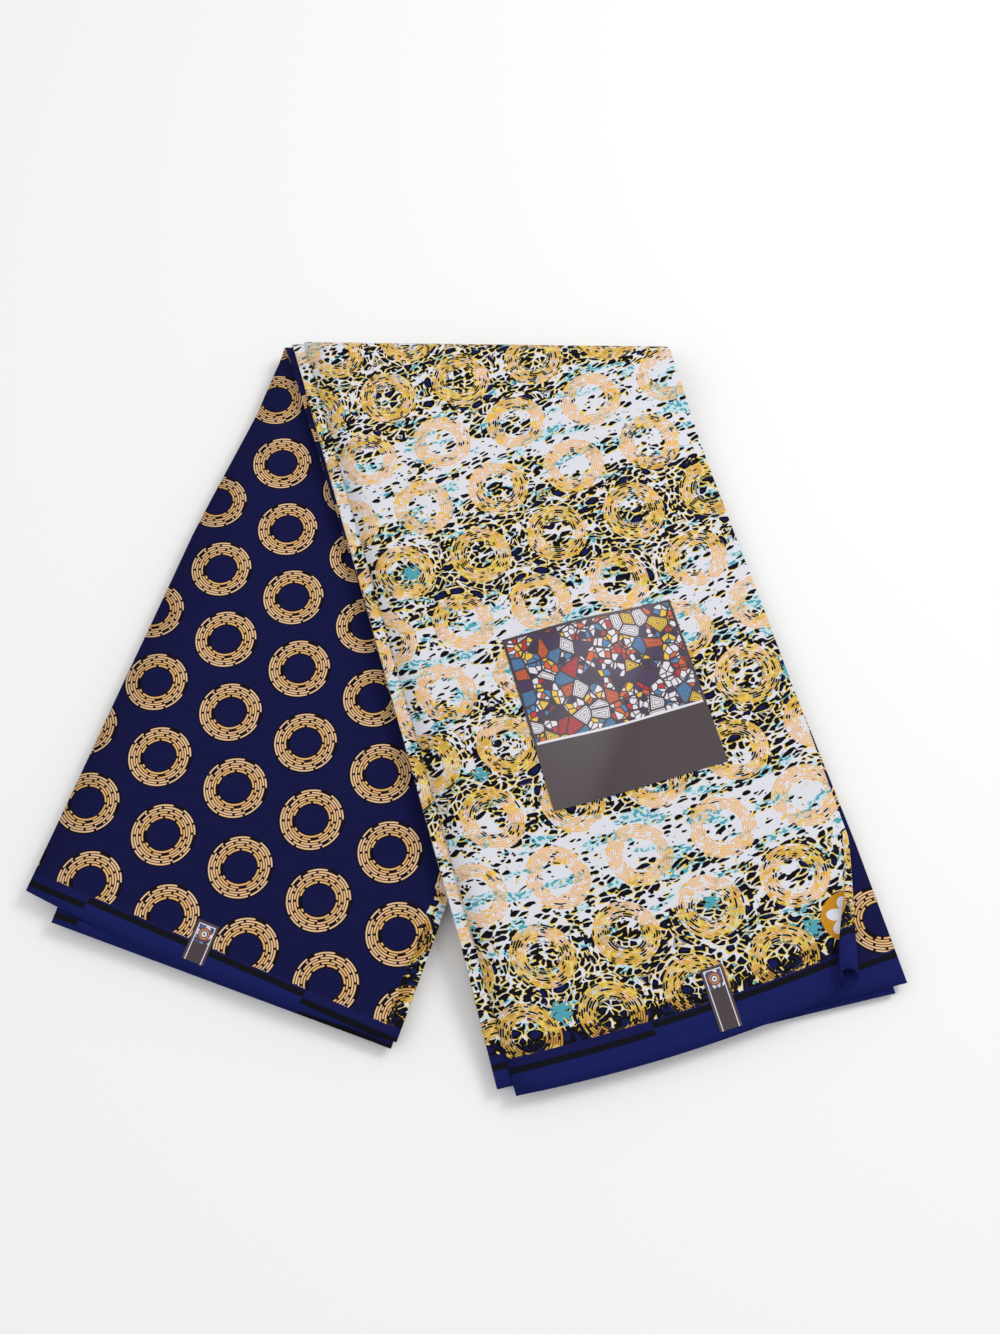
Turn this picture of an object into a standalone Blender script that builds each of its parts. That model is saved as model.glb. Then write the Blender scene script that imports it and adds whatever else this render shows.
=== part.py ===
"""Printed wrapper cloth, laid on a surface.

The cloth is folded to and fro into a long strip, and the strip is folded over once across a straight
crease, so that its two legs spread into a V. The lower leg points down to the left, and the upper leg lies
partly on it and points down to the right, where it comes down onto the surface.
Metres, +Z up. Origin: centre of the underside of the whole.
"""

import math

import bpy
import bmesh

# Strip of folded cloth
STRIP_WIDTH = 0.300
CLOTH_THICKNESS = 0.0011
LAYER_PITCH = 0.0016
LAYER_COUNT = 8
LOWER_LEG_ANGLE = math.radians(18.4)
UPPER_LEG_ANGLE = math.radians(16.65)
LOWER_LEG_REACH = 0.5332
UPPER_LEG_REACH = 0.5748
LOWER_END_SLOPE = -0.3577
UPPER_END_SLOPE = -0.3108
SQUARING_SHARE = 0.45
OVERLENGTH_SHARE = 0.40
SELVEDGE_BOW = 0.007

# Fold between the legs
LEG_GAP = 0.0016
CREASE_X = -0.027
STACK_HEIGHT = (LAYER_COUNT - 1) * LAYER_PITCH + CLOTH_THICKNESS
INNER_RADIUS = LEG_GAP / 2
MEAN_RADIUS = INNER_RADIUS + STACK_HEIGHT / 2
BEND_REACH = math.pi * MEAN_RADIUS / 2
BEND_STEPS = 6
ANGLE_BLEND = 0.030

# Step where the upper leg comes down off the lower leg
LIFT = STACK_HEIGHT + LEG_GAP
STEP_WIDTH = 0.080
STEP_MARGIN = 0.002
STEP_RAMP = 0.060

# Loose loop at the open corner of the upper leg
LOOP_START = 0.80
LOOP_HALF_WIDTH = 0.0080
LOOP_HALF_HEIGHT = 0.0050
LOOP_LEAN = math.radians(45)
LOOP_DRAW_BACK = 0.018

# Paper labels
PAPER_THICKNESS = 0.0004
PAPER_CLEARANCE = 0.0003

# Places across the strip where every layer has points, and shares of each leg's reach where rows lie
ACROSS = (-0.116, -0.086, -0.053, -0.018, 0.017, 0.052, 0.087, 0.120)
LOWER_ROWS = (1.00, 0.93, 0.78, 0.60, 0.42, 0.25, 0.10)
UPPER_ROWS = (0.07, 0.16, 0.26, 0.36, 0.457, 0.536, 0.614, 0.693, 0.77, 0.83, 0.885, 0.945, 1.00)

# Folds and raw ends at the strip's sides, from the innermost layer of the bend to the outermost one.
# Insets in mm from the strip's nominal side at shares of the legs' reach, minus for the lower leg;
# overlengths in mm past the nominal selvedge line.
EDGE_STATIONS = (-1.0, -0.45, -0.15, 0.0, 0.5, 0.83, 1.0)
EDGES = (
    # name, side, insets at the stations, lower overlength, upper overlength
    ("end_0", -1, (-1.5, -4.5, 0.5, -2.2, 4.0, 6.0, 7.0), 0.0, -6.0),
    ("fold_0_1", 1, (6.5, 6.5, 6.0, 7.5, 6.0, 5.0, 6.0), 0.0, -5.0),
    ("fold_1_2", -1, (26.0, 7.0, 5.0, 3.0, 5.0, 6.0, 8.0), 13.0, -8.0),
    ("fold_2_3", 1, (9.0, 8.0, 7.0, 4.0, 2.0, 3.0, 4.0), 5.0, 15.0),
    ("fold_3_4", -1, (27.0, 9.0, 5.0, -4.0, -1.0, 6.0, 8.0), 10.0, -5.0),
    ("fold_4_5", 1, (10.0, 8.0, 4.0, -4.0, -6.0, -8.0, -6.0), 3.0, 11.0),
    ("fold_5_6", -1, (29.0, 10.0, 6.0, 2.3, 3.0, 3.5, 1.5), 12.0, -5.0),
    ("fold_6_7", 1, (12.0, 8.0, 2.0, -8.0, -7.0, -3.5, 28.0), 4.0, 3.0),
    ("end_7", -1, (30.0, 16.0, 14.0, 12.0, 13.0, 13.0, 12.5), 8.0, 3.0),
)

FOLD_STEPS = 3
LOOP_STEPS = 6

COLOURS = {
    "folded_cloth": (0.10, 0.11, 0.28),
    "large_label": (0.10, 0.06, 0.06),
    "small_label_lower_leg": (0.10, 0.07, 0.07),
    "small_label_upper_leg": (0.10, 0.07, 0.07),
}


def smooth(value):
    """Ease from 0 to 1."""
    share = min(max(value, 0.0), 1.0)
    return share * share * (3.0 - 2.0 * share)


def along(stations, values, place):
    """Read a table of values at a place between its stations."""
    for first in range(len(stations) - 1):
        if place <= stations[first + 1] or first == len(stations) - 2:
            span = stations[first + 1] - stations[first]
            share = min(max((place - stations[first]) / span, 0.0), 1.0)
            return values[first] + share * (values[first + 1] - values[first])


def leg_angle(reach):
    """Angle of the strip to the crease's normal, blended through the bend."""
    share = smooth(0.5 + reach / (2.0 * ANGLE_BLEND))
    return LOWER_LEG_ANGLE + share * (UPPER_LEG_ANGLE - LOWER_LEG_ANGLE)


def lower_leg_side():
    """A point and the outward direction, in plan, of the lower leg's right side."""
    point = (CREASE_X + (STRIP_WIDTH / 2 - 0.0065) / math.cos(LOWER_LEG_ANGLE), 0.0)
    outward = (math.cos(LOWER_LEG_ANGLE), -math.sin(LOWER_LEG_ANGLE))
    return point, outward


def lift_under(x, y, reach):
    """Height of the upper leg's underside over the surface."""
    point, outward = lower_leg_side()
    past = (x - point[0]) * outward[0] + (y - point[1]) * outward[1]
    drop = smooth((past - STEP_MARGIN) / STEP_WIDTH)
    return LIFT * (1.0 - drop * smooth((reach - BEND_REACH) / STEP_RAMP))


def place_point(across, height, reach):
    """World point of the strip: across it, over its inner face, and along it from the crease."""
    angle = leg_angle(reach)
    x = CREASE_X + across / math.cos(angle) + reach * math.tan(angle)
    if reach < -BEND_REACH:
        return (x, reach + BEND_REACH, STACK_HEIGHT - height)
    if reach > BEND_REACH:
        y = BEND_REACH - reach
        return (x, y, lift_under(x, y, reach) + height)
    turn = reach / MEAN_RADIUS
    radius = INNER_RADIUS + height
    return (x, radius * math.cos(turn), STACK_HEIGHT + INNER_RADIUS + radius * math.sin(turn))


def row_reach(share, across, overlength):
    """Distance along the strip of a row of points, fanned from the crease's line to the selvedge's."""
    if share < 0.0:
        middle = share * LOWER_LEG_REACH
        slope = LOWER_END_SLOPE
        direction = -1.0
    else:
        middle = share * UPPER_LEG_REACH
        slope = UPPER_END_SLOPE
        direction = 1.0
    squared = smooth(abs(share) / SQUARING_SHARE)
    grown = smooth((abs(share) - 1.0 + OVERLENGTH_SHARE) / OVERLENGTH_SHARE)
    return middle + slope * squared * across + direction * grown * overlength


def rows_of_strip():
    """Rows from the lower leg's selvedge, round the bend, to the upper leg's selvedge."""
    rows = [("leg", -share) for share in LOWER_ROWS]
    for step in range(BEND_STEPS + 1):
        rows.append(("bend", BEND_REACH * (2.0 * step / BEND_STEPS - 1.0)))
    rows.extend(("leg", share) for share in UPPER_ROWS)
    return rows


def fold_arc(edge, side, lower, pitch_half, steps):
    """Points of a tight turn from one layer up to the next."""
    points = []
    for step in range(steps + 1):
        turn = math.pi * step / steps - math.pi / 2
        points.append((edge - side * pitch_half * (1.0 - math.cos(turn)),
                       lower + pitch_half * (1.0 + math.sin(turn))))
    return points


def loop_arc(edge, lower, grown, overlength):
    """The top pair's turn, which opens into a loose, leaning loop whose upper side is drawn back."""
    half = LAYER_PITCH / 2
    wide = half + grown * (LOOP_HALF_WIDTH - half)
    high = half + grown * (LOOP_HALF_HEIGHT - half)
    points = []
    for step in range(LOOP_STEPS + 1):
        turn = (math.pi + grown * LOOP_LEAN) * step / LOOP_STEPS - math.pi / 2
        risen = (1.0 + math.sin(turn)) / 2.0
        points.append((edge - wide * (1.0 - math.cos(turn)),
                       lower + 2.0 * high * risen,
                       overlength - LOOP_DRAW_BACK * grown * risen))
    return points, wide


def section(share):
    """Middle line of the cloth across the strip: lists of (across, height, overlength)."""
    half = LAYER_PITCH / 2
    edges = []
    for name, side, insets, lower_over, upper_over in EDGES:
        inset = along(EDGE_STATIONS, insets, share) / 1000
        over = (lower_over if share < 0.0 else upper_over) / 1000
        edges.append((side * (STRIP_WIDTH / 2 - inset), over))
    grown = smooth((share - LOOP_START) / (1.0 - LOOP_START))
    turn_foot = (LAYER_COUNT - 2) * LAYER_PITCH + CLOTH_THICKNESS / 2
    top_turn, wide = loop_arc(edges[-2][0], turn_foot, grown, edges[-2][1])
    path = []
    for layer in range(LAYER_COUNT):
        height = layer * LAYER_PITCH + CLOTH_THICKNESS / 2
        rightward = layer % 2 == 0
        start, start_over = edges[layer]
        finish, finish_over = edges[layer + 1]
        right_limit = ACROSS[-1]
        if layer == LAYER_COUNT - 2:
            right_limit = min(right_limit, finish - wide - 0.0015)
        if layer == LAYER_COUNT - 1:
            right_limit = min(right_limit, start - 2.0 * wide - 0.0030)
        knee = ACROSS[5]
        squeeze = (right_limit - knee) / (ACROSS[-1] - knee)
        inner = [place if place <= knee else knee + (place - knee) * squeeze for place in ACROSS]
        if not rightward:
            inner.reverse()
        if layer == 0:
            path.append((start, height, start_over))
        shown = layer == (0 if share < 0.0 else LAYER_COUNT - 1)
        bow = SELVEDGE_BOW if shown else 0.0
        for place in inner:
            part = (place - start) / (finish - start)
            over = start_over + part * (finish_over - start_over) + 4.0 * bow * part * (1.0 - part)
            path.append((place, height, over))
        if layer == LAYER_COUNT - 1:
            path.append((finish, height, finish_over))
        elif layer == LAYER_COUNT - 2:
            path.extend(top_turn)
        else:
            side = 1 if rightward else -1
            turn = fold_arc(finish, side, height, half, FOLD_STEPS)
            path.extend((place, rise, finish_over) for place, rise in turn)
    return path


def mitres(path):
    """Direction and length of the offset that gives the section an even thickness."""
    offsets = []
    for number in range(len(path)):
        normals = []
        for first in (number - 1, number):
            if 0 <= first and first + 1 < len(path):
                along_u = path[first + 1][0] - path[first][0]
                along_h = path[first + 1][1] - path[first][1]
                length = math.hypot(along_u, along_h)
                normals.append((-along_h / length, along_u / length))
        if len(normals) == 1:
            offsets.append(normals[0])
        else:
            spread = 1.0 + normals[0][0] * normals[1][0] + normals[0][1] * normals[1][1]
            offsets.append(((normals[0][0] + normals[1][0]) / spread,
                            (normals[0][1] + normals[1][1]) / spread))
    return offsets


def split_quads(mesh, plan):
    """Split each quad along the same diagonal of the strip, so that layers nest."""
    for face in list(mesh.faces):
        if len(face.verts) != 4:
            continue
        corners = list(face.verts)
        first, second = corners[0], corners[2]
        spread = [plan[second][axis] - plan[first][axis] for axis in (0, 1)]
        if spread[0] * spread[1] < 0.0:
            first, second = corners[1], corners[3]
        bmesh.utils.face_split(face, first, second)


def sheet_object(name, columns, rows, place):
    """A closed sheet: a grid with Solidify's two faces, each point put in its place."""
    mesh = bmesh.new()
    bmesh.ops.create_grid(mesh, x_segments=columns - 1, y_segments=rows - 1, size=1.0)
    bmesh.ops.solidify(mesh, geom=mesh.faces[:], thickness=1.0)
    plan = {}
    for vert in mesh.verts:
        column = round((vert.co.x + 1.0) / 2.0 * (columns - 1))
        row = round((vert.co.y + 1.0) / 2.0 * (rows - 1))
        side = 1 if abs(vert.co.z) < 0.5 else -1
        vert.co, plan[vert] = place(column, row, side)
    split_quads(mesh, plan)
    bmesh.ops.recalc_face_normals(mesh, faces=mesh.faces[:])
    data = bpy.data.meshes.new(name)
    mesh.to_mesh(data)
    mesh.free()
    return bpy.data.objects.new(name, data)


def make_cloth():
    """The folded cloth, one sheet from end to end."""
    rows = rows_of_strip()
    paths = []
    for kind, value in rows:
        paths.append(section(value if kind == "leg" else 0.0))
    offsets = [mitres(path) for path in paths]

    def place(column, row, side):
        across, height, over = paths[row][column]
        turn_u, turn_h = offsets[row][column]
        kind, value = rows[row]
        reach = value if kind == "bend" else row_reach(value, across, over)
        shift = side * CLOTH_THICKNESS / 2
        point = place_point(across + shift * turn_u, height + shift * turn_h, reach)
        return point, (across, reach)

    return sheet_object("folded_cloth", len(paths[0]), len(rows), place)


def make_label(name, across, shares, rests_at):
    """A paper label that follows the layer under it, its clearance above that layer's face."""
    def place(column, row, side):
        reach = row_reach(shares[row], across[column], 0.0)
        height = rests_at(PAPER_CLEARANCE + (PAPER_THICKNESS if side > 0 else 0.0))
        return place_point(across[column], height, reach), (across[column], reach)

    return sheet_object(name, len(across), len(shares), place)


def on_upper_leg(rise):
    """Height, from the bend's inner face, of a point over the upper leg's top layer."""
    return STACK_HEIGHT + rise


def on_lower_leg(rise):
    """Height, from the bend's inner face, of a point over the lower leg's top layer."""
    return -rise


def give_material(item):
    """A matt material in the object's own colour."""
    material = bpy.data.materials.new(item.name)
    material.use_nodes = True
    shader = material.node_tree.nodes["Principled BSDF"]
    shader.inputs["Base Color"].default_value = (*COLOURS[item.name], 1.0)
    shader.inputs["Roughness"].default_value = 0.85
    shader.inputs["Metallic"].default_value = 0.0
    item.data.materials.append(material)


def stand_at_origin(items):
    """Move all meshes so that the middle of their common underside is at the origin."""
    points = [vert.co for item in items for vert in item.data.vertices]
    low = [min(point[axis] for point in points) for axis in range(3)]
    high = [max(point[axis] for point in points) for axis in range(3)]
    shift = ((low[0] + high[0]) / 2, (low[1] + high[1]) / 2, low[2])
    for item in items:
        for vert in item.data.vertices:
            vert.co = [vert.co[axis] - shift[axis] for axis in range(3)]


def main():
    for item in list(bpy.data.objects):
        bpy.data.objects.remove(item, do_unlink=True)
    collection = bpy.data.collections.new("printed_wrapper_cloth")
    bpy.context.scene.collection.children.link(collection)
    items = [
        make_cloth(),
        make_label("large_label", ACROSS[2:7], UPPER_ROWS[4:8], on_upper_leg),
        make_label("small_label_lower_leg", (-0.0235, -0.0150, -0.0065), (-1.004, -0.95), on_lower_leg),
        make_label("small_label_upper_leg", (0.0140, 0.0225, 0.0310), (0.932, 1.008), on_upper_leg),
    ]
    stand_at_origin(items)
    for item in items:
        give_material(item)
        collection.objects.link(item)


main()
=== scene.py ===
"""Looks of the printed wrapper cloth: the folded sheet, its print and its paper labels, on a pale floor."""

import math

import bpy
from mathutils import Matrix, Vector


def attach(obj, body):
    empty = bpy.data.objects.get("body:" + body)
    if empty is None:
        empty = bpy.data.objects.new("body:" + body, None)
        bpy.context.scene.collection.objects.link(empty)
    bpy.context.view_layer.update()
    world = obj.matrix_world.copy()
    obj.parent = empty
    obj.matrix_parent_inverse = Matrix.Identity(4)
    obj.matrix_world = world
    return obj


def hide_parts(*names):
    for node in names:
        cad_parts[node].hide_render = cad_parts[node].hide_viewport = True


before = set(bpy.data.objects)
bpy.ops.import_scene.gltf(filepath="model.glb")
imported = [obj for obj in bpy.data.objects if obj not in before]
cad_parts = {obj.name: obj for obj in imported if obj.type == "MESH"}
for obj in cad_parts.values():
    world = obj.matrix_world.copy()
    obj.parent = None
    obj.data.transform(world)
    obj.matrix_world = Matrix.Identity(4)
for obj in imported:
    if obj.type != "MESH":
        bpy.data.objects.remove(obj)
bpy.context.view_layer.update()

MM_PER_M = 1000.0

# Strip of folded cloth, as in the solid
STRIP_WIDTH = 0.300
SOLID_THICKNESS = 0.0011
LAYER_PITCH = 0.0016
LAYER_COUNT = 8
LOWER_LEG_ANGLE = math.radians(18.4)
UPPER_LEG_ANGLE = math.radians(16.65)
LOWER_LEG_REACH = 0.5332
UPPER_LEG_REACH = 0.5748
LOWER_END_SLOPE = -0.3577
UPPER_END_SLOPE = -0.3108
SQUARING_SHARE = 0.45
OVERLENGTH_SHARE = 0.40
SELVEDGE_BOW = 0.007
FOLD_INSET = 0.0065

# Fold between the legs
LEG_GAP = 0.0016
CREASE_X = -0.027
STACK_HEIGHT = (LAYER_COUNT - 1) * LAYER_PITCH + SOLID_THICKNESS
INNER_RADIUS = LEG_GAP / 2
MEAN_RADIUS = INNER_RADIUS + STACK_HEIGHT / 2
BEND_REACH = math.pi * MEAN_RADIUS / 2
ANGLE_BLEND = 0.030

# Step where the upper leg comes down off the lower leg
LIFT = STACK_HEIGHT + LEG_GAP
STEP_WIDTH = 0.080
STEP_MARGIN = 0.002
STEP_RAMP = 0.060

# Loose loop at the open corner of the upper leg
LOOP_START = 0.80
LOOP_HALF_WIDTH = 0.0080
LOOP_HALF_HEIGHT = 0.0050
LOOP_LEAN = math.radians(45)
LOOP_CLEARANCE = 0.0015
LOOP_DRAW_BACK = 0.012
LOOP_TUCK = 0.034
LOOP_PRINT_DRAW_BACK = 0.35
CREASE_SHARE = 0.15

# Where the solid's origin lies
ORIGIN = (-0.0245086, -0.2982590, 0.0)

EDGE_STATIONS = (-1.0, -0.45, -0.15, 0.0, 0.5, 0.83, 1.0)
EDGES = (
    # name, side, insets in mm at the stations, lower overlength, upper overlength
    ("end_0", -1, (-1.5, -4.5, 0.5, -2.2, 4.0, 6.0, 7.0), 0.0, -6.0),
    ("fold_0_1", 1, (6.5, 6.5, 6.0, 7.5, 6.0, 5.0, 6.0), 0.0, -5.0),
    ("fold_1_2", -1, (26.0, 7.0, 5.0, 3.0, 5.0, 6.0, 8.0), 13.0, -8.0),
    ("fold_2_3", 1, (9.0, 8.0, 7.0, 4.0, 2.0, 3.0, 4.0), 5.0, 15.0),
    ("fold_3_4", -1, (27.0, 9.0, 5.0, -4.0, 5.0, 6.0, 8.0), 10.0, -5.0),
    ("fold_4_5", 1, (10.0, 8.0, 4.0, -4.0, -6.0, -8.0, -6.0), 3.0, 11.0),
    ("fold_5_6", -1, (29.0, 10.0, 6.0, 2.3, 3.0, 3.5, 1.5), 12.0, -5.0),
    ("fold_6_7", 1, (12.0, 8.0, 2.0, -8.0, -7.0, -3.5, 28.0), 4.0, 3.0),
    ("end_7", -1, (30.0, 16.0, 14.0, 12.0, 13.0, 13.0, 12.5), 8.0, 3.0),
)

# Unevenness of the stack
SWELL_LENGTH = 0.21
SWELL_SQUASH = 0.7
SWELL_SLANTS = (0.4, -0.3)
SWELL_PHASES = (1.1, 0.5)
SWELL_SHARE = 0.045
SWELL_FADE = 0.050
RIDGE_PLACE = -0.129
RIDGE_WIDTH = 0.004
RIDGE_HEIGHT = 0.0008
RIDGE_POWER = 6

# Sheet drawn here
SHEET_THICKNESS = 0.0009
LEFT_SAMPLE = -0.116
KNEE = 0.052
RIGHT_SAMPLE = 0.120
SHOWN_COLUMNS = 30
HIDDEN_COLUMNS = 12
FOLD_STEPS = 6
LOOP_STEPS = 14
LEG_ROWS = 56
BEND_ROWS = 18
LEG_START = 1.6

# Layout of the sheet's faces on a square, in shares of its side
EDGE_FLAT = 0.015
EDGE_WEIGHT = 5.0
BAKE_LAYOUT = (
    # faces, turned, left, bottom, width, height
    ("lower_top", False, 0.006, 0.006, 0.720, 0.390),
    ("upper_top", False, 0.006, 0.404, 0.780, 0.402),
    ("lower_under", True, 0.796, 0.006, 0.198, 0.376),
    ("upper_under", True, 0.796, 0.390, 0.198, 0.406),
    ("between", False, 0.006, 0.814, 0.780, 0.146),
    ("inside", True, 0.796, 0.804, 0.198, 0.190),
)
BAKE_RIM_LEFT = 0.006
BAKE_RIM_WIDTH = 0.780
BAKE_RIM_BOTTOM = 0.966
BAKE_RIM_PITCH = 0.007
BAKE_RIM_SHARE = 0.55

# Paper labels
PAPER_THICKNESS = 0.0003
PAPER_CLEARANCE = 0.0003
LABEL_POINTS = 25
LABELS = (
    # piece, leg, left, right, first share, last share
    ("large_label", "upper", -0.0530, 0.0870, 0.457, 0.693),
    ("small_label_lower_leg", "lower", -0.0235, -0.0065, -1.004, -0.950),
    ("small_label_upper_leg", "upper", 0.0140, 0.0310, 0.932, 1.008),
)

# Labels' drawing, in millimetres
LABEL_FRAME = 2.2
LABEL_DIVIDER = 50.0
DIVIDER_HALF = 0.9
LINE_HALF = 0.45
LINE_INSET = 2.2
LINE_OUTSIDE = 1.9
FIELD_INSET = 2.6
SEAL_FIELD = 15.0
SEAL_DROP = 1.0
SEAL_TILES_SHIFT = 90.0
MOSAIC_CELL = 11.0
MOSAIC_SMALL_CELL = 5.0
MOSAIC_SPLIT = 0.45
MOSAIC_JOINT = 0.75
MOSAIC_SMALL_JOINT = 0.45
MOSAIC_LINE_PITCH = 1.7

# Print: where a ring's centre lies on each leg's top layer, the rows' direction and their spacings
RING_SPACING = 0.064
ROW_SPACING = 0.0535
LAYER_PRINT = (
    # leg, shift of the print along and across the rows, depth into the spotted ground at the left and right
    ("lower", 0.640, 0.0, -0.2825, 0.0175),
    ("lower", 0.640, 0.0, 0.060, 0.031),
    ("lower", 0.640, 0.0, 0.150, -0.150),
    ("lower", 0.640, 0.0, -0.150, -0.150),
    ("upper", 0.0, 0.0, -0.150, -0.150),
    ("upper", -0.010, -0.010, 0.250, -0.050),
    ("upper", 0.023, 0.012, 0.250, 0.250),
    ("upper", 0.0, 0.0, 0.250, 0.250),
)
PRINT_LAYOUT = {
    # leg: centre x, centre y, angle of the rows, angle between rows and columns, ring spacing, row spacing
    "lower": (-0.1323, 0.0101, -22.16, 89.06, 0.06414, 0.05364),
    "upper": (0.1330, 0.1512, 18.58, 91.12, 0.06419, 0.05292),
}
PRINT_PULL = (
    # power of the place along and across the rows in decimetres, pull along and across in mm
    (0, 0, -2.19, -1.72),
    (0, 1, 1.21, 1.90),
    (0, 2, 0.85, 0.32),
    (1, 0, 6.14, 5.71),
    (1, 1, -0.43, 0.04),
    (2, 0, 2.96, 2.92),
)
PULL_LIMITS = (-4.5, 2.0)

# Print, in millimetres
SEED_STEP = 37.3
# Along and across the rows, and radius
TEAL_SPLATS = ((-195, -364, 7.0), (-5, -362, 5.5), (-187, -2, 6.5), (-188, -178, 5.0), (-62, -318, 5.0),
               (60, -170, 5.0))
FLOWER = (21, -364, 19.0)
PETAL_NOTCH = 0.45
PETAL_LENGTH = 0.36
FLOWER_EYE = 0.16
RING_STEP = RING_SPACING * MM_PER_M
ROW_STEP = ROW_SPACING * MM_PER_M
RING_INSIDE = 12.6
TRACK_PITCH = 1.90
TRACK_COUNT = 6
TRACK_HALF = 0.29
RING_MIDDLE = 18.0
RING_OUTSIDE = RING_INSIDE + TRACK_PITCH * TRACK_COUNT
OUTLINE_WIDTH = 0.9
SWIRL_INSIDE = 11.0
SWIRL_OUTSIDE = 34.0
STROKE_PITCH = 1.75
STROKE_COUNT = 7
ZIGZAG_LENGTH = 5.0
ZIGZAG_HEIGHT = 1.9
ZIGZAG_PITCH = 2.0
BAND_PERIOD = 175.0
BAND_PHASE = 3.0
THREAD_PITCH = 0.55
RING_MARKS = {
    # short marks: number round a ring, half length, share drawn, seed
    "brick_joints": (8, 0.95, 0.94, 5.0),
    "long_gaps": (4, 3.0, 0.14, 23.0),
    "rim_gaps": (7, 5.5, 0.26, 31.0),
    "stroke_gaps": (9, 0.8, 0.8, 41.0),
    "stroke_rim_gaps": (8, 5.0, 0.45, 47.0),
    "short_bars": (12, 1.6, 0.60, 51.0),
    "long_bars": (7, 3.2, 0.30, 57.0),
}
MARK_PLAY = 0.7
BRICK_PLAY = 0.35
BRICK_STAGGER = 1.0 / 16.0
SPOT_CELLS = {
    # cells: width, height, seed, joint between spots, reach from a cell's middle
    "dots": (6.2, 5.3, 2, 0.62, 2.6),
    "dashes": (11.0, 4.6, 3, 0.50, 1.6),
    "leaves": (13.0, 9.0, 4, 0.90, 4.0),
}
# Spots' growth with the density, and their unevenness by patches and one by one
DOT_SIZES = (-2.9, 0.35)
DOT_UNEVEN = (4.4, 1.0)
DASH_SIZES = (2.4, -0.9, 1.3, 2.2)
DASH_UNEVEN = (6.5, 1.2)
DASH_SLANT = (0.985, 0.174)
LEAF_DENSITY = 0.45
LEAF_SHARE = 0.75
LEAF_RIM = 0.8
ABSENT = 20.0
FIELDS = {
    # smooth noise: width and height of its blobs, seed, detail
    "spot_sizes": (12.0, 8.0, 1, 2.0),
    "dash_sizes": (30.0, 8.0, 32, 2.0),
    "bands": (75.0, 24.0, 5, 2.0),
    "sway": (17.0, 17.0, 7, 2.0),
    "swirls": (45.0, 30.0, 8, 2.0),
    "splat_edge": (3.2, 2.4, 17, 1.0),
    "zone_edge": (9.0, 9.0, 21, 2.0),
    "weft": (1.4, 0.5, 30, 2.0),
    "warp": (0.5, 1.4, 31, 2.0),
}
PATCHES = {
    # patches: width, height, seed, detail, growth with the density, edge, softness
    "wash": (34.0, 12.0, 9, 3.0, 0.0, 0.575, 0.02),
    "flecks": (4.2, 2.8, 10, 1.0, 0.0, 0.53, 0.02),
    "yellow": (10.0, 8.0, 11, 2.0, 0.20, 0.58, 0.04),
    "warm_strokes": (15.0, 11.0, 12, 2.0, 0.30, 0.67, 0.10),
    "yellow_strokes": (9.0, 7.0, 13, 2.0, 0.20, 0.75, 0.05),
    "whole_strokes": (6.0, 5.0, 15, 2.0, 0.12, 0.36, 0.04),
    "bars": (13.0, 10.0, 16, 2.0, 0.38, 0.66, 0.05),
}
BAND_UNEVEN = 2.2
# Width and softness of the darker ground at the cut line, at the zone's edge and low down
CUT_SHADE = (8.0, 9.0)
ZONE_SHADE = (7.0, 6.0)
LOW_SHADE = (40.0, 20.0)
SHADE_DEPTH = 1.1
SWAY = (9.0, 0.7)
SWIRL_SHARE = 0.47
SWIRL_LENGTHS = (150.0, 900.0, 1.25)
HALO_SHIFT = (0.45, 0.55)
SWIRL_HALO_SHIFT = 0.5
HALO_WIDTH = 0.25
FILL_DEPTH = 1.55
SPLAT_UNEVEN = 17.0
STROKE_START = 0.4
STROKE_GAP = (0.30, 0.88)
STROKE_KEY = 60.0
BAR_KEY = 90.0
BAR_HALF = 0.40
BAR_SHARE = 0.80
ZONE_UNEVEN = 10.0
LEG_SHIFT = 10 * RING_STEP
# Selvedges: where the print is cut off, in metres, and the stripe and band under it
CUT_LINES = {"lower": -0.2225, "upper": -0.3868}
STRIPE_TOP = -1.4
BAND_TOP = -6.0
LOWER_STEPS = (-58.0, 117.0)
LOWER_STEP_RISE = 4.8
UPPER_STEP = -137.0
UPPER_STEP_RISE = 5.0
# Metres that the sheet's far selvedge lies past the print
FAR_MARGIN = 0.015

# Camera, floor and light
CAMERA_ELEVATION = math.radians(67.0768)
CAMERA_ROLL = math.radians(0.7418)
CAMERA_PLACE = (0.0245, -0.4424, 1.0899)
SENSOR_HEIGHT = 36.0
LENS = 40.37
CLIP_END = 20.0
FLOOR_HALF = 3.0
FLOOR_DROP = 0.0004
FLOOR_COLOUR = (0.97, 0.97, 0.97)
SKY_STRENGTH = 0.66
LAMPS = (
    # name, place, size, power
    ("key", (1.3, 0.9, 1.7), 0.9, 19.0),
    ("fill", (-1.6, -0.6, 1.8), 2.0, 6.0),
)


def smooth(value):
    """Ease from 0 to 1."""
    share = min(max(value, 0.0), 1.0)
    return share * share * (3.0 - 2.0 * share)


def along(stations, values, place):
    """Read a table of values at a place between its stations."""
    for first in range(len(stations) - 1):
        if place <= stations[first + 1] or first == len(stations) - 2:
            span = stations[first + 1] - stations[first]
            share = min(max((place - stations[first]) / span, 0.0), 1.0)
            return values[first] + share * (values[first + 1] - values[first])


def leg_angle(reach):
    """Angle of the strip to the crease's normal, blended through the bend."""
    share = smooth(0.5 + reach / (2.0 * ANGLE_BLEND))
    return LOWER_LEG_ANGLE + share * (UPPER_LEG_ANGLE - LOWER_LEG_ANGLE)


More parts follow.
